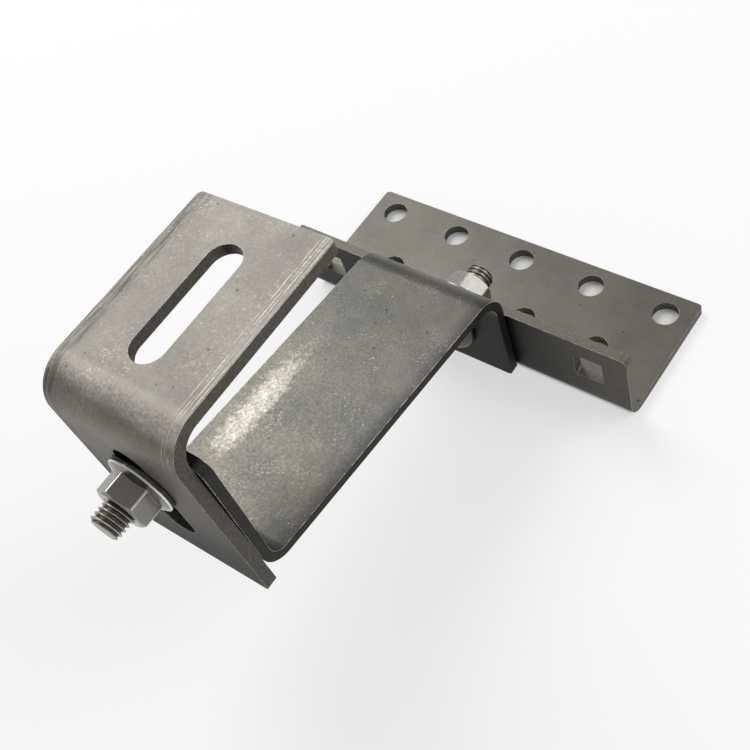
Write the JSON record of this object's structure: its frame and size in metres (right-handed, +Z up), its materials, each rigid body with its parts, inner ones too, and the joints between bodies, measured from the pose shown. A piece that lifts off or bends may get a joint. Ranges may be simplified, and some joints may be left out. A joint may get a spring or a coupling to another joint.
{
  "type": "solar roof hook",
  "caption": "Bent steel roof hook: a flat base with screw holes, an arm that passes over the tile, and a slotted rail bracket bolted on the front.",
  "frame": {"origin": "on the base bracket's underside, in the middle of its length and depth", "axes": "+X along the base bracket, +Y from the rail bracket towards the base plate's far edge, +Z up from the roof"},
  "size_m": [0.14, 0.19, 0.1254],
  "materials": {
    "base_steel": "smooth mill-finish sheet steel, warm grey",
    "arm_steel": "mill-finish sheet steel with a sparkling grain and scuffs",
    "rail_steel": "mill-finish sheet steel, mottled light grey with fine pits and scratches",
    "bolt_steel": "bright stainless steel, rolled thread",
    "nut_steel": "satin stainless steel"
  },
  "bodies": {
    "root": {"base_bracket": "base_steel", "hook_arm": "arm_steel", "rail_bracket": "rail_steel", "front_carriage_bolt": "bolt_steel", "rear_carriage_bolt": "bolt_steel", "front_flange_nut": "nut_steel", "rear_flange_nut": "nut_steel"}
  },
  "joints": []
}
